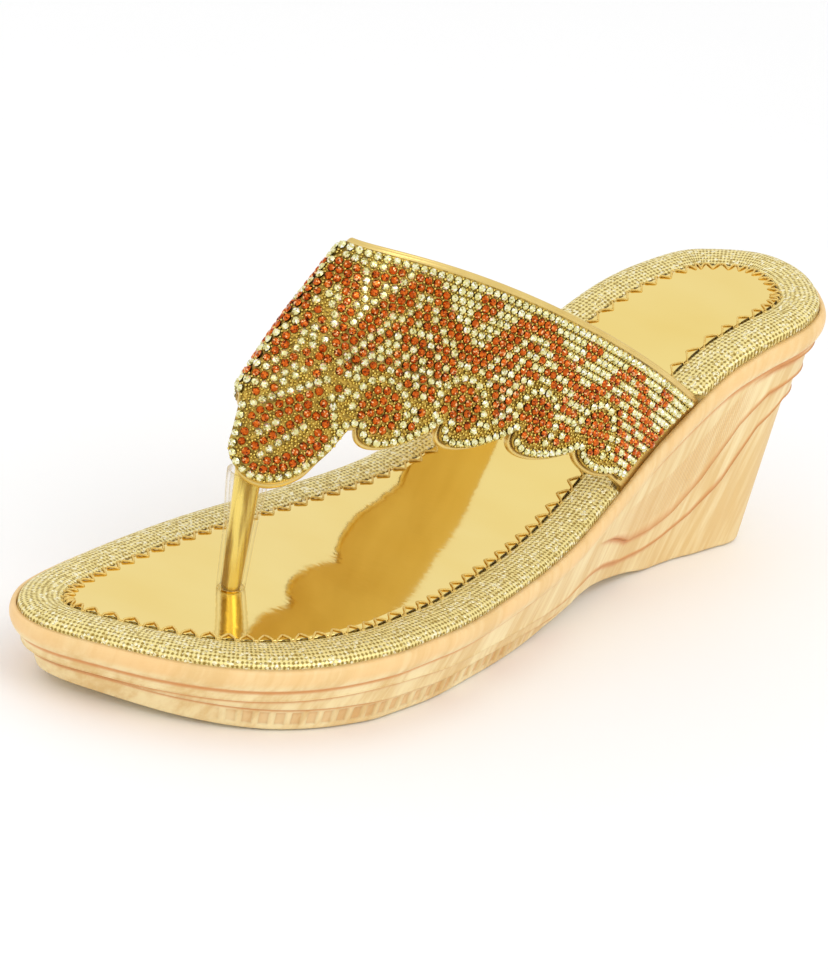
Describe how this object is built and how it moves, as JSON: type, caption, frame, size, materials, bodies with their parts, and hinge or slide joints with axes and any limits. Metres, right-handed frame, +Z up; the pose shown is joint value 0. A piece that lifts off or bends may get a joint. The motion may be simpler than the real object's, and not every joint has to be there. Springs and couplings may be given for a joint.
{
  "type": "slip-on heel",
  "caption": "Slip-on wedge sandal with a stone-set V strap on a toe post, a padded footbed and a moulded wood-look sole.",
  "frame": {"origin": "middle of the sole's bounding box, on the floor", "axes": "+X from heel to toe, +Y towards the outer (little toe) side, +Z up"},
  "size_m": [0.253, 0.0866, 0.1036],
  "materials": {
    "wood_look_sole": "moulded foam with a printed wood grain, satin",
    "glitter_fabric": "woven fabric with gold glitter",
    "mirror_foil": "mirror-gold foil on a thin sock lining",
    "gold_leather": "coated synthetic leather, metallic gold",
    "stone_field": "faceted clear and copper stones with small gold beads",
    "gold_foil": "rolled gold foil strip",
    "clear_plastic": "clear flexible tube"
  },
  "bodies": {
    "root": {"sole": "wood_look_sole", "footbed": "glitter_fabric", "insole": "mirror_foil", "upper": "gold_leather", "stone_panel": "stone_field", "toe_post": "gold_foil", "post_sleeve": "clear_plastic"}
  },
  "joints": []
}
